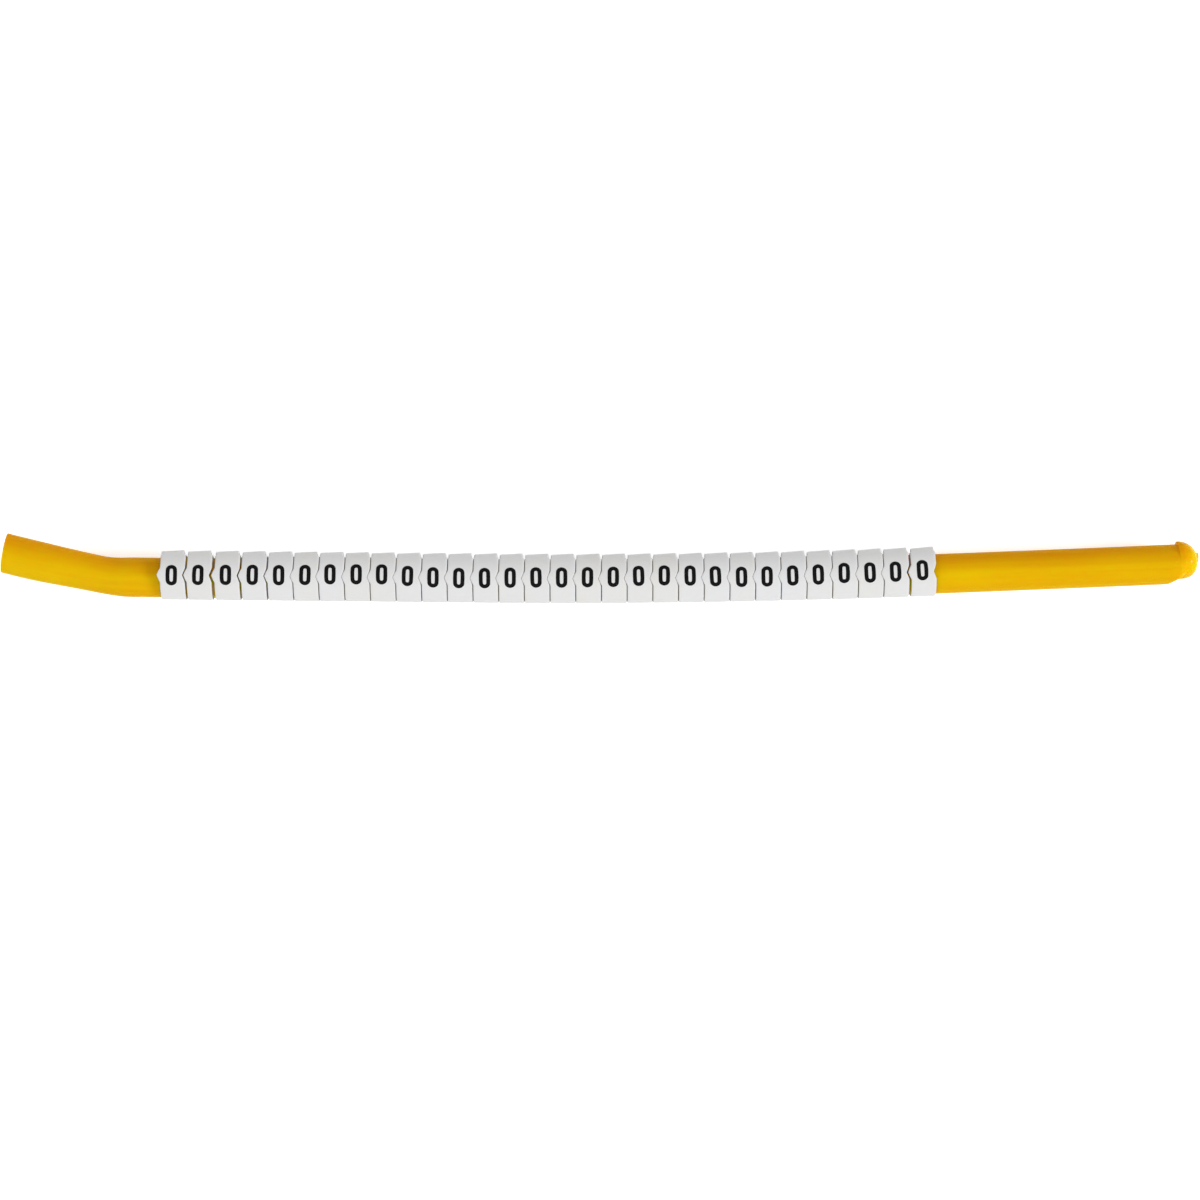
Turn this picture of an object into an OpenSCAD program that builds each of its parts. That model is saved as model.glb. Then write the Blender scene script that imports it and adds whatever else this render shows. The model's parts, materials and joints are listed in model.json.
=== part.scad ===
// Cable markers on their wand: a row of chevron-cut slip-on sleeves, carried on a bent plastic rod.
// The part lies as it rests on a table, with the blank or printed faces of the sleeves up.
// Millimetres, +Z up, +X along the wand towards its ball tip. The origin is under the middle of the part.

/* [Wand] */
// Diameter of the wand
wand_d = 6.2; // [4:0.1:9]
// Bare straight length from the bend to the first marker
lead_len = 5.1; // [2:0.1:15]
// Bare straight length from the last marker to the ball tip
handle_len = 37.8; // [10:0.1:80]

/* [Bent end] */
// Straight length of the bent end, beyond the bend
bent_end_len = 14.6; // [6:0.1:40]
// Angle of the bent end to the marker row, in degrees
bend_angle = 11.9; // [3:0.1:45]
// Radius of the bend at the wand's centre line
bend_radius = 25; // [15:0.5:60]
// Edge break of the cut end
end_chamfer = 0.1; // [0.05:0.05:0.5]
// How much the rod's radius draws down where it is bent
draw_down = 0.02; // [0.015:0.005:0.1]

/* [Bow] */
// Angle of the slight bow under the last markers, in degrees
bow_angle = 2.7; // [0.5:0.05:6]
// Length of the bow along the wand
bow_len = 67; // [15:1:70]

/* [Ball tip] */
// Diameter of the ball at the tip
ball_d = 5.9; // [3:0.1:8]
// Sideways offset of the ball from the wand's axis
ball_shift = 0.58; // [0.2:0.02:1.2]
// Distance from the step at the back of the ball to the ball's centre
ball_lead = 0.5; // [0:0.05:1]
// Depth to which the rod's end runs into the ball
ball_seat = 0.3; // [0.1:0.05:1]
// Diameter of the gate nub on the ball
nub_d = 1.8; // [0.8:0.1:2.6]
// Height of the gate nub above the ball
nub_h = 0.12; // [0.08:0.02:0.6]
// Sideways offset of the gate nub from the ball's axis
nub_shift = 0.2; // [0:0.05:0.8]
// Length of the slanted trim at the rod's end, below the ball
trim_len = 1.4; // [0.5:0.1:3]
// Depth of the slanted trim
trim_depth = 0.7; // [0.2:0.02:1.5]

/* [Markers] */
// Number of markers on the wand
marker_count = 30; // [20:1:40]
// Width of a marker along the wand
marker_w = 3.93; // [3:0.01:6]
// Gap between two markers
marker_gap = 0.06; // [0.06:0.02:0.6]
// Wall of a marker
marker_wall = 0.3; // [0.25:0.05:1]
// Edge break on the outside of a marker
marker_chamfer = 0.1; // [0.05:0.01:0.15]

/* [Chevron cut] */
// Height of the chevron, across the wand
chevron_h = 2.2; // [1.2:0.1:4]
// Depth of the chevron, along the wand
chevron_depth = 0.46; // [0.2:0.02:1]

/* [Fit] */
// Radial clearance between a marker's bore and the wand
fit_clearance = 0.44; // [0.2:0.01:0.8]
// Smallest gap, on the flank where a marker leans on the wand
seat_gap = 0.04; // [0.02:0.005:0.08]
// Direction in which a marker stands off the wand, in degrees above +Y
lean_angle = 8; // [0:1:80]

/* [Hidden] */
$fn = 96;

// Markers that stand a little further from the next one: marker number, extra gap
loose_gaps = [[1, 0.15], [2, 0.34], [3, 0.16], [4, 0.1], [29, 0.21]];
// How far a cutter runs past the face that it cuts
overrun = 1;
// How far a bent length of the rod runs into the straight lengths at its ends
splice = 0.5;

function marker_name(i) = str("marker_", i < 10 ? "0" : "", i);

// Section of a marker
wand_r = wand_d / 2;
bore_r = wand_r + fit_clearance;
marker_r = bore_r + marker_wall;
stand_off = fit_clearance - seat_gap;
stand_off_y = stand_off * cos(lean_angle);
stand_off_z = stand_off * sin(lean_angle);

// Height of the wand's axis, with the markers standing on the table
axis_z = marker_r - stand_off_z;

// Places along the wand, from the left edge of the first marker
function total(list) = len(list) == 0 ? 0 : list * [for (x = list) 1];
function loose_before(i) = total([for (g = loose_gaps) if (g[0] < i) g[1]]);
function marker_start(i) = (i - 1) * (marker_w + marker_gap) + loose_before(i);
row_end = marker_start(marker_count) + marker_w;
bow_end = marker_start(marker_count) - chevron_depth;
bow_start = bow_end - bow_len;
bow_radius = bow_len / (bow_angle * PI / 180);
tip_start = row_end + handle_len;

// Centre line of the wand from the bend to the tip: straight, a slight bow, straight
function along(from, angle, d) = from + d * [cos(angle), sin(angle)];
bow_exit = [bow_start + bow_radius * sin(bow_angle), bow_radius * (1 - cos(bow_angle))];
function bow_turn(s) = min(max((s - bow_start) / bow_len, 0), 1) * bow_angle;
function centre_line(s) =
    s <= bow_start ? [s, 0] :
    s >= bow_end ? along(bow_exit, bow_angle, s - bow_end) :
    [bow_start + bow_radius * sin(bow_turn(s)), bow_radius * (1 - cos(bow_turn(s)))];

// Bent end: its angle, and the centres of the bend's far end and of the cut face
bent_dir = 180 - bend_angle;
bend_far = [-lead_len - bend_radius * sin(bend_angle), bend_radius * (1 - cos(bend_angle))];
cut_face = along(bend_far, bent_dir, bent_end_len);

// Ball tip, from the end of the rod
ball_r = ball_d / 2;
nub_r = nub_d / 2;
nub_top = ball_lead + ball_r + nub_h;

// Outline of the part from above, to set the origin under its middle
ball_middle = along(along(centre_line(tip_start), bow_angle, ball_lead), bow_angle + 90, ball_shift);
nub_face = along(along(ball_middle, bow_angle, ball_r + nub_h), bow_angle + 90, nub_shift);
end_shoulder = along(bend_far, bent_dir, bent_end_len - end_chamfer);
left_x = cut_face[0] - (wand_r - end_chamfer) * sin(bend_angle);
right_x = nub_face[0] + nub_r * sin(bow_angle);
back_y = max(end_shoulder[1] + wand_r * cos(bend_angle), ball_middle[1] + ball_r);
front_y = stand_off_y - marker_r;
middle = [(left_x + right_x) / 2, (back_y + front_y) / 2];

// Puts a child, drawn with the wand's axis along X, at a place along the wand's centre line
module on_centre_line(place, angle) {
    translate([place[0] - middle[0], place[1] - middle[1], axis_z])
        rotate([0, 0, angle])
            children();
}

module at_wand(s) {
    on_centre_line(centre_line(s), bow_turn(s)) children();
}

// A round rod along +X
module rod(r, h) {
    rotate([0, 90, 0]) cylinder(r = r, h = h);
}

// A turn of the rod: starts along +X at the origin and bends towards +Y
module turn(radius, angle) {
    splice_angle = splice / radius * 180 / PI;
    translate([0, radius, 0])
        rotate([0, 0, -90 - splice_angle])
            rotate_extrude(angle = angle + 2 * splice_angle)
                translate([radius, 0]) circle(r = wand_r - draw_down);
}

// The cut end of the rod, with its edge broken
module bent_end() {
    rod(wand_r, bent_end_len - end_chamfer);
    translate([bent_end_len - end_chamfer, 0, 0])
        rotate([0, 90, 0])
            cylinder(r1 = wand_r, r2 = wand_r - end_chamfer, h = end_chamfer);
}

// The bare handle: its end is trimmed on a slant below the ball
module handle() {
    trim_angle = atan(trim_depth / trim_len);
    difference() {
        rod(wand_r, tip_start + ball_seat - bow_end);
        translate([tip_start - bow_end - trim_len, -wand_r, 0])
            rotate([0, 0, trim_angle])
                translate([-overrun, -2 * wand_d, -wand_d])
                    cube([trim_len + 2 * wand_d, 2 * wand_d, 2 * wand_d]);
    }
}

// The ball that was formed on the rod's end, with the nub of its gate
module ball_tip() {
    translate([0, ball_shift, 0]) {
        intersection() {
            translate([ball_lead, 0, 0]) sphere(r = ball_r);
            rod(ball_d, ball_lead + ball_d);
        }
        translate([0, nub_shift, 0]) rod(nub_r, nub_top);
    }
}

module wand() {
    color("gold") {
        on_centre_line(bend_far, bent_dir) bent_end();
        on_centre_line(bend_far, -bend_angle) turn(bend_radius, bend_angle);
        on_centre_line([-lead_len, 0], 0) rod(wand_r, lead_len + bow_start);
        at_wand(bow_start) turn(bow_radius, bow_angle);
        at_wand(bow_end) handle();
        at_wand(tip_start) ball_tip();
    }
}

// A sleeve before it is cut: a ring about X with the edges of its outside broken
module ring() {
    rotate([0, 90, 0])
        rotate_extrude()
            polygon([
                [bore_r, -marker_w / 2],
                [marker_r - marker_chamfer, -marker_w / 2],
                [marker_r, -marker_w / 2 + marker_chamfer],
                [marker_r, marker_w / 2 - marker_chamfer],
                [marker_r - marker_chamfer, marker_w / 2],
                [bore_r, marker_w / 2],
            ]);
}

// The chevron of the cut, on the upper side only: its point is chevron_depth to the left of edge_x
module chevron(edge_x, back) {
    linear_extrude(height = marker_r + overrun)
        polygon([
            [edge_x - chevron_depth, 0],
            [edge_x, -chevron_h / 2],
            [edge_x + back, -chevron_h / 2],
            [edge_x + back, chevron_h / 2],
            [edge_x, chevron_h / 2],
        ]);
}

// The pointed nib on the left of a sleeve
module nib() {
    intersection() {
        translate([-marker_w / 2 - chevron_depth, 0, 0])
            difference() {
                rod(marker_r, marker_w / 2 + chevron_depth);
                translate([-overrun, 0, 0]) rod(bore_r, marker_w + chevron_depth + 2 * overrun);
            }
        chevron(-marker_w / 2, 2 * marker_chamfer);
    }
}

module sleeve() {
    difference() {
        union() {
            ring();
            nib();
        }
        chevron(marker_w / 2, overrun);
    }
}

module marker(i) {
    color("whitesmoke")
        at_wand(marker_start(i) + marker_w / 2)
            translate([0, stand_off_y, stand_off_z])
                sleeve();
}

wand();
for (i = [1 : marker_count])
    marker(i);
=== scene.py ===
"""Looks of a cable marker wand: the bent rod, its slip-on markers, their printed zeros and the stage."""

import json
import math

import bpy
import numpy as np
from mathutils import Matrix, Vector


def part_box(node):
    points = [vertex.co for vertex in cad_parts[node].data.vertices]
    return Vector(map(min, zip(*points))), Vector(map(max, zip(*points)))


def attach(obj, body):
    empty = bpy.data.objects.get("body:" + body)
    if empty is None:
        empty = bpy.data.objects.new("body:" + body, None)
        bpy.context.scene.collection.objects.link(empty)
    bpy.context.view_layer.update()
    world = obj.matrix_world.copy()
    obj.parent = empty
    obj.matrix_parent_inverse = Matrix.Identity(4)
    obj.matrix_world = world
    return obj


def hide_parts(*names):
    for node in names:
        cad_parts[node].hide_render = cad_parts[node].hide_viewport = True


bl_info = {
    "name": "Cable Marker Wand",
    "version": (1, 0, 0),
    "blender": (4, 5, 0),
    "location": "View3D > Sidebar > Marker Wand",
    "description": "Builds a plastic wand with its row of printed slip-on cable markers",
    "category": "Add Mesh",
}

MM = 0.001

# The fixed frame: every place below is worked out from it
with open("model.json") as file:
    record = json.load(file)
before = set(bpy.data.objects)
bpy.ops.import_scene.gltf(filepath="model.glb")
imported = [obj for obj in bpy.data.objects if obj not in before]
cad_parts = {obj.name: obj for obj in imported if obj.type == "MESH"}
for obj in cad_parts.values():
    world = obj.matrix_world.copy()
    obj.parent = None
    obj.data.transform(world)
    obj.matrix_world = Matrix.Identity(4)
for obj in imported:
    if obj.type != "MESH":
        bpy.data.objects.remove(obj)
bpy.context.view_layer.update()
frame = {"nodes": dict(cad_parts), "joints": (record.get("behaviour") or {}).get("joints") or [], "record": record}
MOUNTS = {mount["name"]: mount for mount in frame["record"]["mounts"]}
JOINTS = {joint["name"]: joint for joint in frame["joints"]}
BODIES = frame["record"]["behaviour"]["bodies"]
BODY_OF = {node: body for body, nodes in BODIES.items() for node in nodes}
MARKERS = sorted(node for node in frame["nodes"] if node.startswith("marker_"))
WAND_RADIUS = MOUNTS["bent_end"]["dims"]["r_mm"] * MM
WAND_BOX = [np.array(corner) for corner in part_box("wand")]
ROW_Y = WAND_BOX[0][1] + WAND_RADIUS
AXIS_Z = WAND_BOX[0][2] + WAND_RADIUS
# Angles of the points round the rod, from the top
WAND_TURN = np.radians(np.arange(0, 360, 3.0))[None, :]
# Distances along the rod at which its centre line is looked up
PROBE = np.linspace(0.0, WAND_BOX[1][0] - WAND_BOX[0][0], 2000)


def linear(hex_colour):
    """Turns an sRGB hex colour such as #EDB807 into linear red, green, blue and alpha."""
    channels = [int(hex_colour[i:i + 2], 16) / 255 for i in (1, 3, 5)]
    return tuple(c / 12.92 if c <= 0.04045 else ((c + 0.055) / 1.055) ** 2.4 for c in channels) + (1.0,)


def length_property(name, millimetres, description):
    """A length of the object, stored in metres."""
    return bpy.props.FloatProperty(
        name=name, description=description, default=millimetres * MM, unit="LENGTH", subtype="DISTANCE",
        precision=5,
    )


def share_property(name, share, description):
    """A plain number between 0 and 1."""
    return bpy.props.FloatProperty(name=name, description=description, default=share, min=0.0, max=1.0)


def angle_property(name, degrees, description):
    """An angle of the object, stored in radians."""
    return bpy.props.FloatProperty(
        name=name, description=description, default=math.radians(degrees), unit="ROTATION", subtype="ANGLE",
    )


def colour_property(name, hex_colour, description):
    """A colour of the object, given as an sRGB hex value."""
    return bpy.props.FloatVectorProperty(
        name=name, description=description, default=linear(hex_colour), subtype="COLOR", size=4, min=0.0,
        max=1.0,
    )


class WandSettings(bpy.types.PropertyGroup):
    """Sizes and colours of the rod."""

    bend_radius: length_property("Bend radius", 25.0, "Radius of the bend at the rod's centre line")
    bow_length: length_property("Bow length", 67.0, "Length of the slight bow under the last markers")
    cut_edge: length_property("Cut edge", 0.04, "Rounding of the cut end's edge")
    cut_slant: angle_property("Cut slant", 5.0, "Slant of the cut, away from square")
    cut_tilt: angle_property("Cut tilt", 4.5, "Lean of the cut, with its top towards the row")
    cut_reach: length_property("Cut reach", 6.0, "Length behind the cut over which its slant dies out")
    end_curl: angle_property("End curl", 2.1, "How much further the rod turns at its cut end")
    curled_share: share_property("Curled share", 0.55, "Share of the bent end that curls")
    handle_curl: angle_property("Handle curl", 0.4, "How much further the rod turns towards the ball")
    neck: length_property("Neck", 0.2, "How much the rod's radius draws down beside the bend")
    neck_start: length_property("Neck start", 3.0, "Distance from the cut at which the rod starts to slim")
    ball_radius: length_property("Ball radius", 2.95, "Radius of the ball at the tip")
    ball_shift: length_property("Ball shift", 0.58, "Sideways offset of the ball from the rod's axis")
    ball_lead: length_property("Ball lead", 0.26, "Distance from the step to the ball's centre")
    crown_depth: length_property("Crown depth", 2.9, "Distance from the ball's centre to its flattened crown")
    nub_radius: length_property("Nub radius", 0.9, "Radius of the gate nub on the ball")
    nub_height: length_property("Nub height", 0.12, "Height of the nub above the ball's crown")
    nub_shift: length_property("Nub shift", 0.2, "Sideways offset of the nub from the ball's axis")
    nub_edge: length_property("Nub edge", 0.1, "Rounding of the nub")
    nub_slant: length_property("Nub slant", 0.16, "How much lower the nub is trimmed on its far side")
    trim_length: length_property("Trim length", 1.4, "Length of the slanted trim below the ball")
    trim_depth: length_property("Trim depth", 0.82, "Depth of the slanted trim at the step")
    soft_edge: length_property("Soft edge", 0.14, "Softening where the rod, the trim and the ball meet")
    melt_start: length_property("Melt start", 1.3, "Distance from the step at which the melted skin starts")
    melt_end: length_property("Melt end", 2.7, "Distance from the step at which the skin is all melted")
    yellow: colour_property("Yellow", "#EBC802", "Colour of the rod")
    ball_yellow: colour_property("Ball yellow", "#D9C003", "Colour of the ball, where the plastic was melted")
    # Also the colour of the painted shade on the rod's sides
    streak_and_shade_yellow: colour_property("Deep yellow", "#DE9602", "Darker streaks of the rod")


class MarkerSettings(bpy.types.PropertyGroup):
    """Sizes and colours of a slip-on marker."""

    width: length_property("Width", 3.93, "Width along the wand, without the nib")
    wall: length_property("Wall", 0.3, "Thickness of the sleeve")
    chevron_height: length_property("Chevron height", 2.2, "Height of the chevron across the wand")
    chevron_depth: length_property("Chevron depth", 0.46, "Depth of the chevron along the wand")
    chevron_soft: length_property("Chevron rounding", 0.08, "Rounding of the chevron's corners")
    outer_edge: length_property("Outer edge", 0.07, "Rounding of the outer edges")
    end_taper: length_property("End taper", 0.09, "How far the outside of an end stands back from its bore")
    end_reach: length_property("End reach", 0.024, "How far the bore's edge stands out to the next marker")
    inner_edge: length_property("Inner edge", 0.05, "Rounding of the edges of the bore")
    flare: length_property("Flare", 0.2, "How much wider the right end stands on the upper flank")
    nesting: share_property("Nesting", 0.75, "How much of the groove between two markers the chevron closes")
    fan: angle_property("Fan", 6.8, "Lean of the upper flank at the row's left end, away from the middle")
    lower_lean: share_property("Lower lean", 0.35, "Share of the lean that the lower flank has")
    notch_angle: angle_property("Notch angle", 57.0, "Angle from the top at which a flank's notch starts")
    notch_soft: angle_property("Notch ease", 1.5, "Angle to each side over which the notch eases in")
    left_notch: length_property("Left notch", 0.11, "How far the left end stands back on the upper flank")
    right_notch: length_property("Right notch", 0.21, "How far the right end stands back on the upper flank")
    white: colour_property("White", "#E5E5E6", "Colour of a marker")
    warm_white: colour_property("Warm white", "#E4E3DE", "Colour of a marker from a warmer batch")
    # The grey of the cut ends is painted shade for the gaps between markers
    end_shade_grey: colour_property("Cut grey", "#B4B4B2", "Colour of a marker's cut ends")


class PrintSettings(bpy.types.PropertyGroup):
    """Sizes and colour of the printed zeros."""

    height: length_property("Height", 3.28, "Height of a zero")
    width: length_property("Width", 1.8, "Width of a zero")
    stroke: length_property("Stroke", 0.63, "Width of the stroke")
    thickness: length_property("Thickness", 0.012, "Height of the ink above the plastic")
    shift: length_property("Shift", -0.19, "Offset of a zero from its marker's middle, along the wand")
    rise: length_property("Rise", 0.2, "Mean offset of the zeros from the markers' top, across the wand")
    drift: length_property("Drift", 0.18, "How far the zeros wander across the wand along the row")
    jitter: length_property("Jitter", 0.03, "Spread of the zeros about their line")
    tilt: angle_property("Tilt", 0.2, "Mean tilt of the zeros")
    tilt_spread: angle_property("Tilt spread", 0.7, "Spread of the tilt")
    ink: colour_property("Ink", "#070708", "Colour of the print")
    thin_ink: colour_property("Thin ink", "#2B2C30", "Colour of the print where the ink is thin")


class StageSettings(bpy.types.PropertyGroup):
    """Camera, floor and light."""

    camera_distance: length_property("Camera distance", 463.0, "Height of the camera above the wand's axis")
    view_width: length_property("View width", 187.73, "Width of the picture at the wand's axis")
    view_shift: length_property("View shift", -4.65, "Place of the picture's middle across the wand")
    camera_roll: angle_property("Camera roll", 0.58, "Turn of the camera about its line of sight")
    floor_white: colour_property("Floor", "#F4F4F4", "Colour of the floor")
    floor_glow: share_property("Floor glow", 0.55, "Glow of the floor, seen by the camera and by reflections")
    fill: share_property("Fill", 0.56, "Strength of the even light from all sides")


# Mesh helpers

def quads_between(rings, points, closed):
    """Corner numbers of the quads between neighbouring rings, as one array. Each ring is a closed loop."""
    ring = np.arange(rings if closed else rings - 1)[:, None]
    point = np.arange(points)[None, :]
    next_ring = (ring + 1) % rings
    next_point = (point + 1) % points
    corners = [ring * points + point, ring * points + next_point,
               next_ring * points + next_point, next_ring * points + point]
    return np.stack([np.broadcast_to(c, (len(ring), points)) for c in corners], axis=-1).reshape(-1, 4)


def surface(name, rings, material, closed=False, **attributes):
    """One closed smooth mesh from rings of points, an array of ring by point by xyz.

    Rings are joined to a tube. A closed row of rings joins its last ring to its first. An open one is closed
    at each end by a fan of triangles round the mean of the end ring. Attributes hold a value or a vector for
    each point.
    """
    count, points, _ = rings.shape
    vertices = rings.reshape(-1, 3)
    faces = quads_between(count, points, closed).tolist()
    if not closed:
        around = np.arange(points)
        last = (count - 1) * points
        first_pole = np.full(points, count * points)
        first_fan = np.stack([first_pole, np.roll(around, -1), around], axis=-1)
        last_fan = np.stack([first_pole + 1, last + around, last + np.roll(around, -1)], axis=-1)
        faces += first_fan.tolist() + last_fan.tolist()
        vertices = np.concatenate([vertices, [rings[0].mean(axis=0), rings[-1].mean(axis=0)]])
    mesh = bpy.data.meshes.new(name)
    mesh.from_pydata(vertices.tolist(), [], faces)
    mesh.polygons.foreach_set("use_smooth", np.ones(len(mesh.polygons), dtype=bool))
    for title, values in attributes.items():
        flat = np.asarray(values, dtype=np.float32).reshape(count * points, -1)
        if not closed:
            ends = [flat[:points].mean(axis=0), flat[-points:].mean(axis=0)]
            flat = np.concatenate([flat, ends]).astype(np.float32)
        vector = flat.shape[1] == 3
        attribute = mesh.attributes.new(title, "FLOAT_VECTOR" if vector else "FLOAT", "POINT")
        attribute.data.foreach_set("vector" if vector else "value", flat.ravel())
    mesh.materials.append(material)
    mesh.update()
    piece = bpy.data.objects.new(name, mesh)
    bpy.context.scene.collection.objects.link(piece)
    return piece


def smooth_step(x, low, high):
    """0 below low, 1 above high and an even ease between them."""
    t = np.clip((x - low) / (high - low), 0.0, 1.0)
    return t * t * (3 - 2 * t)


def soft_max(a, b, k):
    """The larger of two values, with a rounding of width k where they are equal."""
    return (a + b + np.sqrt((a - b) ** 2 + k * k)) / 2


def soft_min(a, b, k):
    """The smaller of two values, with a rounding of width k where they are equal."""
    return -soft_max(-a, -b, k)


# Materials

def add_node(tree, kind, links=None, values=None, **settings):
    """Adds one node: settings are its own, values fill its sockets and links feed them from other sockets."""
    node = tree.nodes.new(kind)
    for name, value in settings.items():
        setattr(node, name, value)
    for socket, value in (values or {}).items():
        node.inputs[socket].default_value = value
    for socket, source in (links or {}).items():
        tree.links.new(source, node.inputs[socket])
    return node


def new_material(name):
    """An empty node material and its Principled shader, linked to the output."""
    material = bpy.data.materials.new(name)
    material.use_nodes = True
    tree = material.node_tree
    tree.nodes.clear()
    shader = add_node(tree, "ShaderNodeBsdfPrincipled")
    add_node(tree, "ShaderNodeOutputMaterial", {"Surface": shader.outputs["BSDF"]})
    return material, tree, shader


def per_mm(*millimetres):
    """Scales of a pattern whose features have these sizes, on coordinates in metres."""
    return tuple(1 / (size * MM) for size in millimetres)


def extruded_pvc(settings):
    """Extruded yellow PVC: satin, with long faint die lines and slow changes of tone along the rod.

    The sides are deeper in tone, as painted shade for the light falling off across the rod, more on the +Y side
    than on the -Y side, and less so near the cut. The ball is paler and glossier, because it was melted to shape.
    """
    upper_shade_edge = 0.76 * WAND_RADIUS
    lower_shade_start = -0.1 * WAND_RADIUS
    lower_shade_edge = -0.8 * WAND_RADIUS
    shade_free_end = 8.0 * MM
    full_shade_start = 20.0 * MM
    polish_start = 0.2 * MM
    polish_end = 1.3 * MM
    step = tip_start(settings)
    material, tree, shader = new_material("Extruded yellow PVC")
    straight = add_node(tree, "ShaderNodeAttribute", attribute_name="straight").outputs["Vector"]
    die_scale = add_node(tree, "ShaderNodeMapping", {"Vector": straight}, {"Scale": per_mm(45.0, 0.9, 0.9)})
    die_lines = add_node(
        tree, "ShaderNodeTexNoise", {"Vector": die_scale.outputs["Vector"]},
        {"Scale": 1.0, "Detail": 4.0, "Roughness": 0.6},
    )
    tone_scale = add_node(tree, "ShaderNodeMapping", {"Vector": straight}, {"Scale": per_mm(14.0, 5.0, 5.0)})
    tone = add_node(
        tree, "ShaderNodeTexNoise", {"Vector": tone_scale.outputs["Vector"]},
        {"Scale": 1.0, "Detail": 3.0, "Roughness": 0.55},
    )
    both = add_node(
        tree, "ShaderNodeMath", {0: die_lines.outputs["Fac"], 1: tone.outputs["Fac"]}, operation="MULTIPLY",
    )
    streaks = add_node(
        tree, "ShaderNodeMapRange", {"Value": both.outputs["Value"]},
        {"From Min": 0.16, "From Max": 0.42, "To Min": 0.05, "To Max": 0.33},
    )
    place = add_node(tree, "ShaderNodeSeparateXYZ", {"Vector": straight})
    # Painted shade: the rod's flanks are mixed towards the deeper yellow, more on the +Y side than on the -Y side
    upper_painted_shade = add_node(
        tree, "ShaderNodeMapRange", {"Value": place.outputs["Y"]},
        {"From Min": 0.0, "From Max": upper_shade_edge, "To Min": 0.0, "To Max": 0.7},
    )
    lower_painted_shade = add_node(
        tree, "ShaderNodeMapRange", {"Value": place.outputs["Y"]},
        {"From Min": lower_shade_start, "From Max": lower_shade_edge, "To Min": 0.0, "To Max": 0.34},
    )
    # The painted side shade is left off near the cut and comes in fully from 20 mm along the rod
    shade_past_cut = add_node(
        tree, "ShaderNodeMapRange", {"Value": place.outputs["X"]},
        {"From Min": shade_free_end, "From Max": full_shade_start, "To Min": 0.0, "To Max": 1.0},
    )
    sides = add_node(
        tree, "ShaderNodeMath",
        {0: lower_painted_shade.outputs["Result"], 1: shade_past_cut.outputs["Result"], 2: upper_painted_shade.outputs["Result"]},
        operation="MULTIPLY_ADD",
    )
    # The die streaks and the painted side shade add up to one share of the deeper yellow
    share = add_node(
        tree, "ShaderNodeMath", {0: streaks.outputs["Result"], 1: sides.outputs["Value"]}, operation="ADD",
    )
    colour = add_node(tree, "ShaderNodeMix", {"Factor": share.outputs["Value"]}, data_type="RGBA")
    colour.inputs["A"].default_value = settings.yellow
    colour.inputs["B"].default_value = settings.streak_and_shade_yellow
    melted = add_node(
        tree, "ShaderNodeMapRange", {"Value": place.outputs["X"]},
        {"From Min": step + settings.melt_start, "From Max": step + settings.melt_end},
    )
    skin = add_node(
        tree, "ShaderNodeMix", {"Factor": melted.outputs["Result"], "A": colour.outputs["Result"]},
        data_type="RGBA",
    )
    skin.inputs["B"].default_value = settings.ball_yellow
    satin = add_node(
        tree, "ShaderNodeMapRange", {"Value": tone.outputs["Fac"]},
        {"From Min": 0.3, "From Max": 0.7, "To Min": 0.46, "To Max": 0.58},
    )
    polish = add_node(
        tree, "ShaderNodeMapRange", {"Value": place.outputs["X"]},
        {"From Min": step + polish_start, "From Max": step + polish_end, "To Min": 1.0, "To Max": 0.3},
    )
    gloss = add_node(
        tree, "ShaderNodeMath", {0: satin.outputs["Result"], 1: polish.outputs["Result"]},
        operation="MULTIPLY",
    )
    bump = add_node(
        tree, "ShaderNodeBump", {"Height": die_lines.outputs["Fac"]},
        {"Strength": 0.25, "Distance": 0.02 * MM},
    )
    tree.links.new(skin.outputs["Result"], shader.inputs["Base Color"])
    tree.links.new(gloss.outputs["Value"], shader.inputs["Roughness"])
    tree.links.new(bump.outputs["Normal"], shader.inputs["Normal"])
    shader.inputs["IOR"].default_value = 1.45
    shader.inputs["Specular IOR Level"].default_value = 0.04
    shader.inputs["Subsurface Weight"].default_value = 0.8
    shader.inputs["Subsurface Radius"].default_value = (2.4 * MM, 0.4 * MM, 0.05 * MM)
    shader.inputs["Subsurface Scale"].default_value = 1.0
    return material


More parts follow.
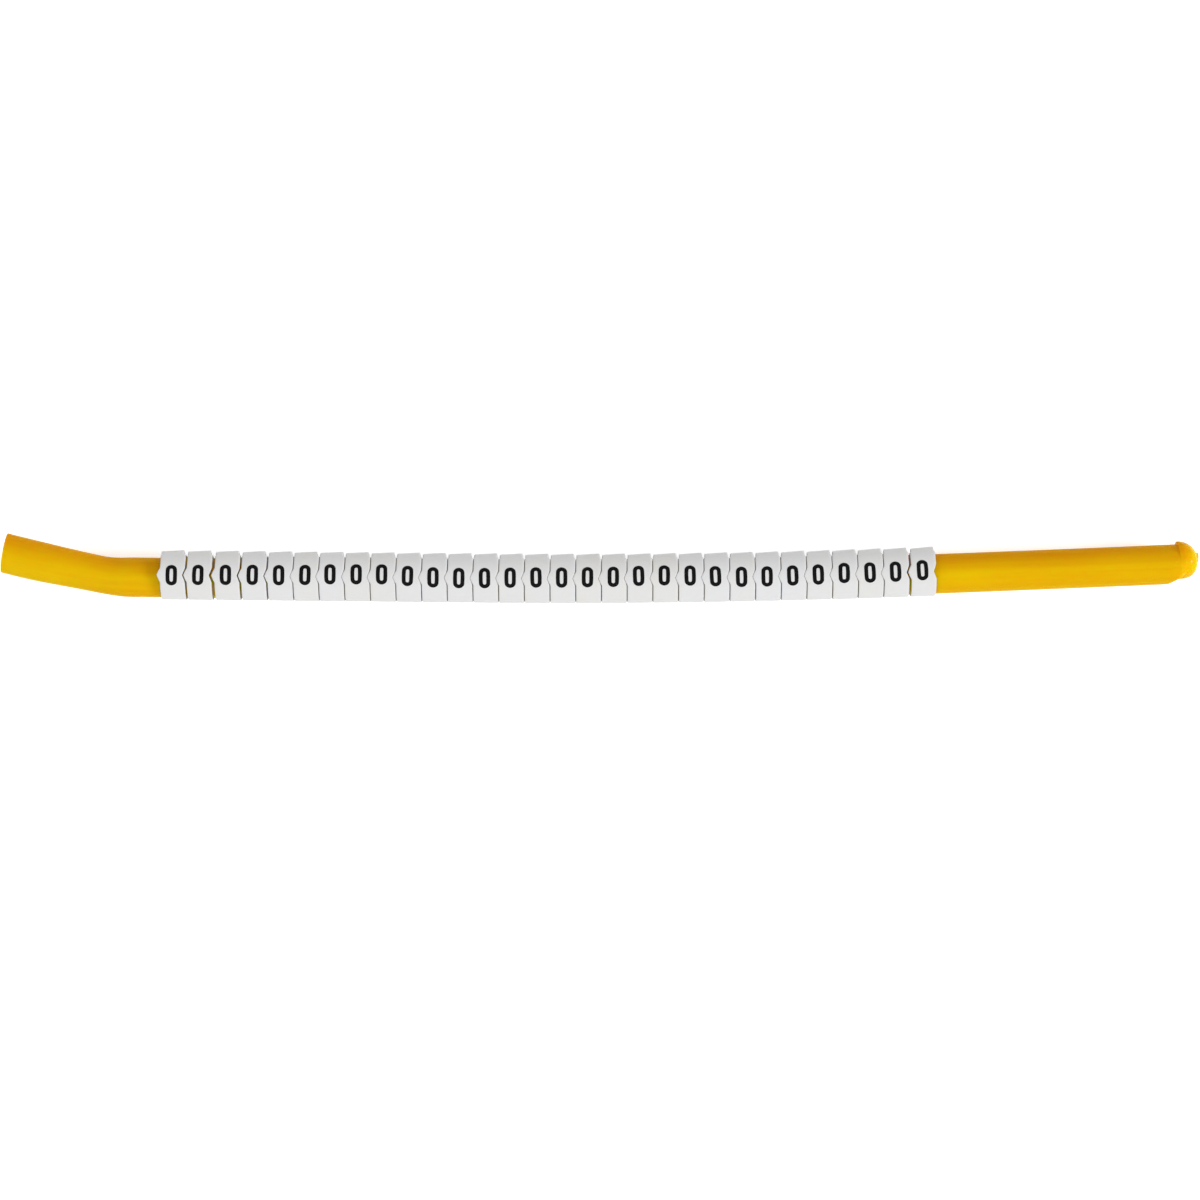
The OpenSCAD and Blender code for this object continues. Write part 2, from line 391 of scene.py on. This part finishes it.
def sleeve_pvc(settings):
    """White PVC sleeve: nearly matt, with a fine eggshell grain and a tone that differs from piece to piece.

    The cut ends are painted a little greyer than the extruded skin: painted shade for the narrow gaps between
    neighbouring markers.
    """
    material, tree, shader = new_material("White PVC sleeve")
    place = add_node(tree, "ShaderNodeAttribute", attribute_name="sleeve").outputs["Vector"]
    tone = add_node(tree, "ShaderNodeAttribute", attribute_name="tone").outputs["Fac"]
    grain_scale = add_node(tree, "ShaderNodeMapping", {"Vector": place}, {"Scale": per_mm(0.22, 0.22, 0.22)})
    grain = add_node(
        tree, "ShaderNodeTexNoise", {"Vector": grain_scale.outputs["Vector"]},
        {"Scale": 1.0, "Detail": 3.0, "Roughness": 0.6},
    )
    cloud_scale = add_node(tree, "ShaderNodeMapping", {"Vector": place}, {"Scale": per_mm(2.4, 2.4, 2.4)})
    cloud = add_node(
        tree, "ShaderNodeTexNoise", {"Vector": cloud_scale.outputs["Vector"]}, {"Scale": 1.0, "Detail": 2.0},
    )
    mixed = add_node(tree, "ShaderNodeMath", {0: tone, 1: cloud.outputs["Fac"]}, operation="MULTIPLY")
    colour = add_node(tree, "ShaderNodeMix", {"Factor": mixed.outputs["Value"]}, data_type="RGBA")
    colour.inputs["A"].default_value = settings.white
    colour.inputs["B"].default_value = settings.warm_white
    gloss = add_node(
        tree, "ShaderNodeMapRange", {"Value": cloud.outputs["Fac"]},
        {"From Min": 0.3, "From Max": 0.7, "To Min": 0.44, "To Max": 0.58},
    )
    bump = add_node(
        tree, "ShaderNodeBump", {"Height": grain.outputs["Fac"]}, {"Strength": 0.3, "Distance": 0.01 * MM},
    )
    # The cut ends are mixed to grey: painted shade for the narrow gaps between markers
    cut = add_node(tree, "ShaderNodeAttribute", attribute_name="cut").outputs["Fac"]
    face = add_node(
        tree, "ShaderNodeMix", {"Factor": cut, "A": colour.outputs["Result"]}, data_type="RGBA",
    )
    face.inputs["B"].default_value = settings.end_shade_grey
    tree.links.new(face.outputs["Result"], shader.inputs["Base Color"])
    tree.links.new(gloss.outputs["Result"], shader.inputs["Roughness"])
    tree.links.new(bump.outputs["Normal"], shader.inputs["Normal"])
    shader.inputs["IOR"].default_value = 1.45
    shader.inputs["Specular IOR Level"].default_value = 0.25
    shader.inputs["Subsurface Weight"].default_value = 0.25
    shader.inputs["Subsurface Radius"].default_value = (0.3 * MM, 0.28 * MM, 0.26 * MM)
    shader.inputs["Subsurface Scale"].default_value = 1.0
    return material


def printing_ink(settings):
    """Black printing ink: matt and thin, so that it is a little uneven where it lies over the grain."""
    material, tree, shader = new_material("Black printing ink")
    place = add_node(tree, "ShaderNodeTexCoord").outputs["Object"]
    scale = add_node(tree, "ShaderNodeMapping", {"Vector": place}, {"Scale": per_mm(0.3, 0.3, 0.3)})
    patches = add_node(
        tree, "ShaderNodeTexNoise", {"Vector": scale.outputs["Vector"]}, {"Scale": 1.0, "Detail": 3.0},
    )
    share = add_node(
        tree, "ShaderNodeMapRange", {"Value": patches.outputs["Fac"]},
        {"From Min": 0.45, "From Max": 0.75, "To Min": 0.0, "To Max": 0.12},
    )
    colour = add_node(tree, "ShaderNodeMix", {"Factor": share.outputs["Result"]}, data_type="RGBA")
    colour.inputs["A"].default_value = settings.ink
    colour.inputs["B"].default_value = settings.thin_ink
    tree.links.new(colour.outputs["Result"], shader.inputs["Base Color"])
    shader.inputs["Roughness"].default_value = 0.55
    shader.inputs["Specular IOR Level"].default_value = 0.08
    return material


# The wand

# Spacing of the rod's rings, and places of the tip's own rings, measured from the ball's step
RING_STEP = 0.6 * MM
TRIM_FROM = -2.0 * MM
TRIM_TO = -0.4 * MM
STEP_FROM = -0.3 * MM
STEP_TO = 1.45 * MM
CROWN_FROM = 1.5 * MM


def wand_knots(settings):
    """Distances from the cut face at which the rod starts or stops to turn, with its heading there.

    The bent end curls a little towards its cut, and eases by as much before the bend as brings it back to the
    row.
    """
    start = np.array(MOUNTS["cut_face"]["pos_m"])
    bent_axis = MOUNTS["cut_face"]["axis"]
    bend = math.atan2(bent_axis[1], -bent_axis[0])
    handle_axis = JOINTS["last_marker_slide"]["axis"]
    bow = math.atan2(handle_axis[1], handle_axis[0])
    bend_tangent = settings.bend_radius * math.tan(bend / 2)
    bend_corner = (start[1] - ROW_Y) / math.sin(bend)
    bow_tangent = settings.bow_length / bow * math.tan(bow / 2)
    bow_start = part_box(MARKERS[-1])[0].x - bow_tangent * (1 + math.cos(bow))
    row_length = bow_start - (start[0] + bend_corner * math.cos(bend) + bend_tangent)
    bent_length = bend_corner - bend_tangent
    curled = settings.curled_share * bent_length
    bend_length = settings.bend_radius * bend
    ease = settings.end_curl * curled / (2 * bent_length - curled + bend_length)
    handle_length = WAND_BOX[1][0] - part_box(MARKERS[-1])[0].x
    cut_heading = -bend - settings.end_curl
    tip_heading = bow + settings.handle_curl
    lengths = [0.0, curled, bent_length - curled, bend_length, row_length, settings.bow_length, handle_length]
    headings = [cut_heading, ease - bend, ease - bend, 0.0, 0.0, bow, tip_heading]
    return np.cumsum(lengths), headings


def bend_span(settings):
    """Distances from the cut face at which the bend starts and ends."""
    places, _ = wand_knots(settings)
    return places[2:4]


def wand_centre_line(stations, settings):
    """Centres and headings at distances along the rod from its cut face.

    The heading is even along a straight length and changes evenly along a bend, so it is a line through a few
    knots. The centre line is the running sum of steps along that heading.
    """
    start = np.array(MOUNTS["cut_face"]["pos_m"])
    heading = np.interp(stations, *wand_knots(settings))
    steps = np.diff(stations)
    middle = (heading[1:] + heading[:-1]) / 2
    x = start[0] + np.concatenate([[0.0], np.cumsum(steps * np.cos(middle))])
    y = start[1] + np.concatenate([[0.0], np.cumsum(steps * np.sin(middle))])
    return x, y, heading


def tip_start(settings):
    """Distance of the ball's step from the cut face, so that the nub ends where the node ends."""
    handle_axis = JOINTS["last_marker_slide"]["axis"]
    nub_top = settings.ball_lead + settings.ball_radius + settings.nub_height
    nub_side = settings.ball_shift + settings.nub_shift - settings.nub_radius
    end_x = WAND_BOX[1][0] + nub_side * handle_axis[1]
    x, _, _ = wand_centre_line(PROBE, settings)
    return float(np.interp(end_x, x, PROBE)) - nub_top


def rod_stations(settings):
    """Distance from the cut face and radius at each ring of the rod, from the cut face to near the tip.

    The cut face is a flat disc with a quarter round at its edge. From there the radius draws down to a neck
    beside the bend and swells back behind it, where the rod was held while it was bent.
    """
    first_ring = 0.5 * MM
    last_gap = 0.2 * MM
    edge = settings.cut_edge
    round_off = np.radians(np.linspace(0, 90, 7))
    body_s = np.arange(first_ring, tip_start(settings) + TRIM_FROM - last_gap, RING_STEP)
    bend_start, bend_end = bend_span(settings)
    swell_start = bend_start + 0.8 * MM
    swell_end = bend_end + 0.6 * MM
    slim_in = smooth_step(body_s, settings.neck_start, bend_start)
    slim_out = smooth_step(body_s, swell_start, swell_end)
    body_r = WAND_RADIUS - settings.neck * slim_in * (1 - slim_out)
    face_r = np.linspace(0.04, 1.0, 8) * (WAND_RADIUS - edge)
    edge_s = edge * (1 - np.cos(round_off))
    edge_r = WAND_RADIUS - edge + edge * np.sin(round_off)
    s = np.concatenate([np.zeros(len(face_r) - 1), edge_s, body_s])
    r = np.concatenate([face_r[:-1], edge_r, body_r])
    return s, r


def crown_power(sine):
    """Exponent of the crown's outline: near 2, a plain ellipse, on the bent side and squarer on the other."""
    mean_power = 2.3
    spread = 0.3
    return mean_power - spread * sine


def crown_rings(settings):
    """Distance from the step, sideways place and height of the points of the ball's crown, ring by ring.

    Each ring is a circle seen from the tip. Its centre eases from the ball's axis to the nub's. The distance
    is that of the ball's surface or that of the nub's rounded, slanted top, whichever is larger, softened.
    The ball's outline is a superellipse: (off / radius)^p + (distance / depth)^p = 1.
    """
    turn = WAND_TURN
    reach = settings.nub_radius
    edge = settings.nub_edge
    depth = settings.crown_depth
    top_d = settings.ball_lead + settings.ball_radius + settings.nub_height
    foot_margin = 0.1 * MM
    side_from = reach + 0.09 * MM
    side_to = reach - 0.04 * MM
    pole_radius = 0.05 * MM
    ball_ring = 2.1 * MM
    nub_ring = 1.1 * MM
    joint_soft = 0.02 * MM
    first_swing = math.asin((CROWN_FROM - settings.ball_lead) / depth)
    last_swing = math.radians(48)
    wide = settings.ball_radius * np.cos(np.linspace(first_swing, last_swing, 14))
    foot = np.linspace(wide[-1], reach + foot_margin, 9)[1:]
    side = np.linspace(side_from, side_to, 9)
    top = np.linspace(side[-1], pole_radius, 8)[1:]
    ring = np.concatenate([wide, foot, side, top])[:, None]
    centre = settings.ball_shift + settings.nub_shift * smooth_step(-ring, -ball_ring, -nub_ring)
    across = centre + ring * np.sin(turn)
    up = ring * np.cos(turn)
    off = np.hypot(across - settings.ball_shift, up)
    power = crown_power((across - settings.ball_shift) / off)
    ball = settings.ball_lead + depth * (1 - (off / settings.ball_radius) ** power) ** (1 / power)
    inward = np.clip((ring - reach + edge) / edge, 0.0, 1.0)
    flat = top_d - edge * (1 - np.sqrt(1 - inward ** 2))
    slant = settings.nub_slant * (1 - ring / reach * np.sin(turn)) / 2
    nub = np.where(ring <= reach, flat - slant, 0.0)
    return soft_max(ball, nub, joint_soft), across, up


def neck_centre(t, settings):
    """Sideways place of the section's centre, easing from the rod's axis to the ball's."""
    ease_start = -1.2 * MM
    ease_end = 0.6 * MM
    return settings.ball_shift * smooth_step(t, ease_start, ease_end)


def neck_radius(t, turn, settings):
    """Outline of the tip round a centre that eases from the rod's axis to the ball's: radius at each angle.

    The rod's circle is cut by the slanted trim. Where the ball stands out over it there is a step, and where
    the ball is the smaller one the rod eases into it. A circle that lies off the centre by d has the radius
    d sin(a) + sqrt(r^2 - d^2 cos(a)^2) in the direction a.
    """
    flat_sine = -1e-3
    step_soft = 0.06 * MM
    step_start = -0.05 * MM
    step_end = 0.07 * MM
    ease_start = -0.2 * MM
    centre = neck_centre(t, settings)
    sine = np.sin(turn)
    cosine = np.cos(turn)
    rod = -centre * sine + np.sqrt(WAND_RADIUS ** 2 - (centre * cosine) ** 2)
    trim_y = -WAND_RADIUS + (t + settings.trim_length) * settings.trim_depth / settings.trim_length
    plane = np.where(sine < flat_sine, (trim_y - centre) / np.minimum(sine, flat_sine), 1.0)
    rod = soft_min(rod, plane, settings.soft_edge)
    off = settings.ball_shift - centre
    power = crown_power(sine)
    ahead = np.maximum(t - settings.ball_lead, 0.0) / settings.crown_depth
    radius = settings.ball_radius * (1 - ahead ** power) ** (1 / power)
    ball = off * sine + np.sqrt(np.maximum(radius ** 2 - (off * cosine) ** 2, 0.0))
    stand_out = soft_max(ball - rod, 0.0, step_soft)
    step = smooth_step(t, step_start, step_end)
    ease = smooth_step(t, ease_start, STEP_TO)
    return rod + stand_out * step + (ball - rod - stand_out) * ease


def make_wand(settings):
    """The whole rod as one closed surface: sections carried along the centre line from pole to pole.

    Each point has a distance s along the rod, a sideways place and a height, as if the rod were straight.
    The centre line then gives its place in the bent rod: centre plus the sideways place along the normal.
    Near the cut the sections lean over, so that the cut is a little off square.
    """
    turn = WAND_TURN
    rod_s, rod_r = rod_stations(settings)
    rod_s = rod_s[:, None]
    rod_r = rod_r[:, None]
    step = tip_start(settings)
    trimmed = np.linspace(TRIM_FROM, TRIM_TO, 14)
    stepped = np.linspace(STEP_FROM, STEP_TO, 44)
    neck_t = np.concatenate([trimmed, stepped])[:, None]
    neck_r = neck_radius(neck_t, turn, settings)
    neck_side = neck_r * np.sin(turn) + neck_centre(neck_t, settings)
    crown_t, crown_side, crown_up = crown_rings(settings)
    s = np.concatenate([
        np.broadcast_to(rod_s, (len(rod_s), turn.size)), np.broadcast_to(step + neck_t, neck_r.shape),
        step + crown_t,
    ])
    side = np.concatenate([rod_r * np.sin(turn), neck_side, crown_side])
    up = np.concatenate([rod_r * np.cos(turn), neck_r * np.cos(turn), crown_up])
    samples = np.linspace(0.0, s.max(), 4000)
    line_x, line_y, line_heading = wand_centre_line(samples, settings)
    heading = np.interp(s, samples, line_heading)
    fade = 1 - smooth_step(s, 0.0, settings.cut_reach)
    lean = math.tan(settings.cut_slant) * fade
    tilt = math.tan(settings.cut_tilt) * fade
    pivot_up = WAND_RADIUS / 2
    pivot_side = -0.7 * WAND_RADIUS
    slant = (up - pivot_up) * tilt - (side - pivot_side) * lean
    rings = np.stack([
        np.interp(s, samples, line_x) + slant * np.cos(heading) - side * np.sin(heading),
        np.interp(s, samples, line_y) + slant * np.sin(heading) + side * np.cos(heading),
        AXIS_Z + up,
    ], axis=-1)
    straight = np.stack([s, side, up], axis=-1)
    return surface("wand_rod", rings[:, ::-1], extruded_pvc(settings), straight=straight[:, ::-1])


# The markers

def chevron(y, settings):
    """How far the cut stands to the left at a height y: a softened tent as high as the chevron is deep."""
    reach = settings.chevron_height / 2
    soft = settings.chevron_soft
    tent = 1 - (np.sqrt(y * y + soft * soft / 4) - soft / 2) / reach
    width = soft / reach / 2
    return settings.chevron_depth * (tent + np.sqrt(tent * tent + width * width)) / 2


def sleeve_profile(radius, settings):
    """The closed outline of the sleeve's wall in its own plane, as four arrays.

    Each point has a share from the left end to the right one, an inset from that place along the wand, a
    taper and a radius. The outline runs over the outside, down the right end, back through the bore and up
    the left end. The ends taper, so that two sleeves nearly meet at the bore and leave a narrow groove
    outside.
    """
    bore = radius - settings.wall
    outer = settings.outer_edge
    inner = settings.inner_edge
    arc = np.radians(np.linspace(0, 90, 6))
    across = np.linspace(0, 1, 12)[1:-1]
    end = np.linspace(0, 1, 5)[1:-1]
    end_r = radius - outer + end * (bore + inner - radius + outer)
    left = np.zeros_like(arc)
    right = np.ones_like(arc)
    left_end = np.zeros_like(end)
    right_end = np.ones_like(end)
    share = np.concatenate([left, across, right, right_end, right, across[::-1], left, left_end])
    inset = np.concatenate([
        outer - outer * np.cos(arc), outer * (1 - 2 * across), outer * np.sin(arc) - outer, left_end,
        inner * np.cos(arc) - inner, inner * (1 - 2 * across[::-1]), inner - inner * np.sin(arc), left_end,
    ])
    height = np.concatenate([
        radius - outer + outer * np.sin(arc), np.full(len(across), radius),
        radius - outer + outer * np.cos(arc), end_r, bore + inner - inner * np.sin(arc),
        np.full(len(across), bore), bore + inner - inner * np.cos(arc), end_r[::-1],
    ])
    taper = settings.end_taper * (height - bore) / settings.wall
    return share, inset, (1 - 2 * share) * taper, height


def sleeve_rings(radius, lean, settings):
    """The sleeve about its own axis: its wall's outline carried round, as an array of ring by point by xyz.

    The angle a runs from the top, so y = r sin(a) and z = r cos(a). The left end and the right end are both
    moved by the chevron, on the upper side only, and nearly touch there. The right end stands wider on the
    upper flank. There both ends stand back, from the notch angle to its mirror image below the axis, so that
    the row shows a notch between two sleeves. Below its shoulders the sleeve leans along the wand, less on
    the lower flank, and comes back to square at its underside.
    """
    # Spans round the sleeve in degrees, each with its number of steps, finer at the chevron and the notch
    spans = [(-24, 24, 48), (24, 54, 10), (54, 60, 12), (60, 120, 20), (120, 126, 12), (126, 336, 70)]
    turn = np.concatenate([np.radians(np.linspace(a, b, n, endpoint=False)) for a, b, n in spans])[:, None]
    share, inset, taper, height = sleeve_profile(radius, settings)
    outer = height > radius - settings.wall / 2
    flank = np.maximum(np.sin(turn), 0.0) ** 2
    r = height + settings.flare * (share - 0.5) * flank * outer
    y = r * np.sin(turn)
    z = r * np.cos(turn)
    cut = chevron(y, settings) * (z > 0)
    nested = smooth_step(cut, 0.0, settings.chevron_depth / 2)
    groove = taper * (1 - settings.nesting * nested) - (1 - 2 * share) * settings.end_reach
    notch_start = math.sin(settings.notch_angle - settings.notch_soft)
    notch_end = math.sin(settings.notch_angle + settings.notch_soft)
    notch = smooth_step(np.sin(turn), notch_start, notch_end)
    back = notch * (settings.left_notch * (1 - share) - settings.right_notch * share)
    shoulder = 0.75 * radius
    square_z = -0.97 * radius
    leaning_z = -0.5 * radius
    drop = np.maximum(shoulder - z, 0.0) * smooth_step(z, square_z, leaning_z)
    side = np.where(y > 0, 1.0, settings.lower_lean)
    x = (share - 0.5) * settings.width + inset + groove - cut + back + lean * side * drop
    return np.stack([x, y, z], axis=-1)


def marker_place(node, settings):
    """Centre, radius and heading of a marker, read from its node's box and from the row that it stands in."""
    low, high = (np.array(corner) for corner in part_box(node))
    first_low, first_high = (np.array(corner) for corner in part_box(MARKERS[0]))
    radius = (first_high[1] - first_low[1]) / 2
    x, _, heading = wand_centre_line(PROBE, bpy.context.scene.marker_wand)
    turn = float(np.interp((low[0] + high[0]) / 2, x, heading))
    centre_x = low[0] + (settings.width / 2 + settings.chevron_depth) * math.cos(turn)
    centre = np.array([centre_x, (low[1] + high[1]) / 2, high[2] - radius])
    return centre, radius, turn


def placed(points, centre, turn):
    """Points of a marker's own frame, turned about Z and moved to its centre."""
    rotate = np.array([[math.cos(turn), -math.sin(turn), 0], [math.sin(turn), math.cos(turn), 0], [0, 0, 1]])
    return points @ rotate.T + centre


def make_marker(node, tone, material, settings):
    """One slip-on marker in place of its node."""
    centre, radius, turn = marker_place(node, settings)
    first_centre = marker_place(MARKERS[0], settings)[0]
    lean = math.tan(settings.fan) * centre[0] / abs(first_centre[0])
    rings = sleeve_rings(radius, lean, settings)
    place = rings + centre
    tones = np.full(rings.shape[:2], tone)
    share, _, _, height = sleeve_profile(radius, settings)
    # The end faces, which carry the painted shade of the gaps between markers
    shaded_end = ((share == 0) | (share == 1)) & (height < radius - 0.5 * settings.outer_edge)
    cut = np.broadcast_to(shaded_end, rings.shape[:2])
    return surface(
        "sleeve_" + node[-2:], placed(rings, centre, turn), material, closed=True, sleeve=place, tone=tones,
        cut=cut,
    )


# The print

def zero_rings(radius, offset, tilt, settings):
    """A zero printed on a sleeve: a flat stroke carried round a long loop and wrapped on the cylinder.

    The stroke's middle line is a circle of radius a whose upper half is moved up and whose lower half is
    moved down, so that its sides are nearly straight: y = a sin(t) + (b - a) times 3 sin(t), held between -1
    and 1. The section is a thin lens that sinks a little into the plastic. A height y becomes the angle
    y / radius.
    """
    t = np.linspace(0, 2 * math.pi, 160, endpoint=False)
    a = (settings.width - settings.stroke) / 2
    b = (settings.height - settings.stroke) / 2
    line_x = a * np.cos(t)
    line_y = a * np.sin(t) + (b - a) * np.clip(3 * np.sin(t), -1.0, 1.0)
    along_x = np.roll(line_x, -1) - np.roll(line_x, 1)
    along_y = np.roll(line_y, -1) - np.roll(line_y, 1)
    long = np.hypot(along_x, along_y)
    # The lens: places across the stroke in half strokes, and heights in thicknesses of the ink
    section = np.array([-1, -0.96, -0.85, 0.85, 0.96, 1, 0])
    lift = np.array([-0.5, 0.7, 1, 1, 0.7, -0.5, -2.0])
    across = section * settings.stroke / 2
    flat_x = line_x[:, None] + (along_y / long)[:, None] * across
    flat_y = line_y[:, None] - (along_x / long)[:, None] * across
    x = flat_x * math.cos(tilt) - flat_y * math.sin(tilt) + offset[0]
    turn = (flat_x * math.sin(tilt) + flat_y * math.cos(tilt) + offset[1]) / radius
    r = radius + lift * settings.thickness
    return np.stack([x, r * np.sin(turn), r * np.cos(turn)], axis=-1)


def print_offsets(count, settings):
    """Offset along and across the wand and tilt of each zero.

    The zeros wander across the wand in a lopsided wave, a sine with a weaker one of half its length, as the
    printed length slips in the feed. A little jitter is added to each.
    """
    waves = 2.5
    phase = -1.98
    overtone = 0.47
    overtone_phase = -0.59
    random = np.random.default_rng(30)
    wave = 2 * math.pi * waves * np.arange(count) / (count - 1)
    wander = np.sin(wave + phase) + overtone * np.sin(2 * wave + overtone_phase)
    along = settings.shift + random.normal(0, settings.jitter, count)
    across = settings.rise + settings.drift * wander + random.normal(0, settings.jitter, count)
    tilt = random.normal(settings.tilt, settings.tilt_spread, count)
    return along, across, tilt


def make_zero(node, offset, tilt, material, settings):
    """The zero on one marker."""
    marker = bpy.context.scene.marker_sleeve
    centre, radius, turn = marker_place(node, marker)
    rings = zero_rings(radius, offset, tilt, settings)
    return surface("zero_" + node[-2:], placed(rings, centre, turn), material, closed=True)


# The stage

# Soft boxes: name, place in metres, edge in metres and power in watts
LAMPS = (
    ("right", (2.8, -0.1, 1.15), 0.5, 58.0),
    ("front", (-2.0, -2.0, 1.7), 1.5, 20.0),
    ("top", (-0.65, -1.1, 2.2), 1.2, 5.0),
)


def make_floor(settings):
    """A flat white floor. It glows a little to the camera and to reflections, so it reads as white paper."""
    half = 3.0
    mesh = bpy.data.meshes.new("floor")
    corners = [(-half, -half, 0.0), (half, -half, 0.0), (half, half, 0.0), (-half, half, 0.0)]
    mesh.from_pydata(corners, [], [(0, 1, 2, 3)])
    material, tree, shader = new_material("White paper")
    shader.inputs["Base Color"].default_value = settings.floor_white
    shader.inputs["Roughness"].default_value = 0.9
    shader.inputs["Emission Color"].default_value = (1.0, 1.0, 1.0, 1.0)
    path = add_node(tree, "ShaderNodeLightPath")
    seen = add_node(
        tree, "ShaderNodeMath",
        {0: path.outputs["Is Camera Ray"], 1: path.outputs["Is Glossy Ray"]}, operation="MAXIMUM",
    )
    glow = add_node(
        tree, "ShaderNodeMath", {0: seen.outputs["Value"]}, {1: settings.floor_glow}, operation="MULTIPLY",
    )
    tree.links.new(glow.outputs["Value"], shader.inputs["Emission Strength"])
    mesh.materials.append(material)
    floor = bpy.data.objects.new("floor", mesh)
    bpy.context.scene.collection.objects.link(floor)


def make_lamp(name, place, size, watts):
    """A square soft box at a place, turned to the origin."""
    light = bpy.data.lights.new(name, "AREA")
    light.shape = "SQUARE"
    light.size = size
    light.energy = watts
    lamp = bpy.data.objects.new(name, light)
    lamp.location = place
    lamp.rotation_euler = (-Vector(place)).to_track_quat("-Z", "Y").to_euler()
    bpy.context.scene.collection.objects.link(lamp)


def make_world(strength):
    """An even white surround that fills the shadows. To the camera and to reflections it is plain white."""
    world = bpy.data.worlds.new("Studio")
    world.use_nodes = True
    tree = world.node_tree
    background = tree.nodes["Background"]
    background.inputs["Color"].default_value = (1.0, 1.0, 1.0, 1.0)
    path = add_node(tree, "ShaderNodeLightPath")
    seen = add_node(
        tree, "ShaderNodeMath",
        {0: path.outputs["Is Camera Ray"], 1: path.outputs["Is Glossy Ray"]}, operation="MAXIMUM",
    )
    level = add_node(tree, "ShaderNodeMath", {0: seen.outputs["Value"]}, {1: strength}, operation="MAXIMUM")
    tree.links.new(level.outputs["Value"], background.inputs["Strength"])
    bpy.context.scene.world = world


def make_camera(settings):
    """A camera straight above the wand, with its picture as wide as the photograph's."""
    data = bpy.data.cameras.new("camera")
    data.sensor_width = 36.0
    data.lens = data.sensor_width * settings.camera_distance / settings.view_width
    data.clip_start = 0.01
    data.clip_end = 20.0
    camera = bpy.data.objects.new("camera", data)
    camera.matrix_world = (
        Matrix.Translation((0.0, settings.view_shift, AXIS_Z + settings.camera_distance))
        @ Matrix.Rotation(settings.camera_roll, 4, "Z")
    )
    bpy.context.scene.collection.objects.link(camera)
    bpy.context.scene.camera = camera


# Operators

class BuildWand(bpy.types.Operator):
    """Build the bent rod with its ball tip"""

    bl_idname = "marker_wand.build_wand"
    bl_label = "Build wand"

    def execute(self, context):
        piece = make_wand(context.scene.marker_wand)
        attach(piece, BODY_OF["wand"])
        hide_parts("wand")
        return {"FINISHED"}


class BuildMarkers(bpy.types.Operator):
    """Build the row of slip-on markers"""

    bl_idname = "marker_wand.build_markers"
    bl_label = "Build markers"

    def execute(self, context):
        settings = context.scene.marker_sleeve
        material = sleeve_pvc(settings)
        tones = np.random.default_rng(7).uniform(0.0, 1.0, len(MARKERS))
        for node, tone in zip(MARKERS, tones):
            piece = make_marker(node, tone, material, settings)
            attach(piece, BODY_OF[node])
            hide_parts(node)
        return {"FINISHED"}


class PrintZeros(bpy.types.Operator):
    """Print a zero on every marker"""

    bl_idname = "marker_wand.print_zeros"
    bl_label = "Print zeros"

    def execute(self, context):
        settings = context.scene.marker_print
        material = printing_ink(settings)
        along, across, tilt = print_offsets(len(MARKERS), settings)
        for i, node in enumerate(MARKERS):
            piece = make_zero(node, (along[i], across[i]), tilt[i], material, settings)
            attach(piece, BODY_OF[node])
        return {"FINISHED"}


class SetStage(bpy.types.Operator):
    """Set up the floor, the light and the camera"""

    bl_idname = "marker_wand.set_stage"
    bl_label = "Set stage"

    def execute(self, context):
        settings = context.scene.marker_stage
        make_floor(settings)
        make_world(settings.fill)
        for lamp in LAMPS:
            make_lamp(*lamp)
        make_camera(settings)
        context.scene.view_settings.view_transform = "Standard"
        return {"FINISHED"}


class WandPanel(bpy.types.Panel):
    """Settings and operators of the cable marker wand"""

    bl_idname = "VIEW3D_PT_marker_wand"
    bl_label = "Marker Wand"
    bl_space_type = "VIEW_3D"
    bl_region_type = "UI"
    bl_category = "Marker Wand"

    def draw(self, context):
        for operator in OPERATORS:
            self.layout.operator(operator.bl_idname)
        for group in SETTINGS:
            box = self.layout.box()
            for name in SETTINGS[group].__annotations__:
                box.prop(getattr(context.scene, group), name)


SETTINGS = {
    "marker_wand": WandSettings,
    "marker_sleeve": MarkerSettings,
    "marker_print": PrintSettings,
    "marker_stage": StageSettings,
}
OPERATORS = (BuildWand, BuildMarkers, PrintZeros, SetStage)
CLASSES = (*SETTINGS.values(), *OPERATORS, WandPanel)


def register():
    """Registers the classes and gives the scene its settings."""
    for cls in CLASSES:
        bpy.utils.register_class(cls)
    for name, group in SETTINGS.items():
        setattr(bpy.types.Scene, name, bpy.props.PointerProperty(type=group))


def unregister():
    """Takes the settings and the classes away again."""
    for name in SETTINGS:
        delattr(bpy.types.Scene, name)
    for cls in reversed(CLASSES):
        bpy.utils.unregister_class(cls)


def main():
    """Builds everything in order."""
    register()
    bpy.ops.marker_wand.build_wand()
    bpy.ops.marker_wand.build_markers()
    bpy.ops.marker_wand.print_zeros()
    bpy.ops.marker_wand.set_stage()


if __name__ == "__main__":
    main()
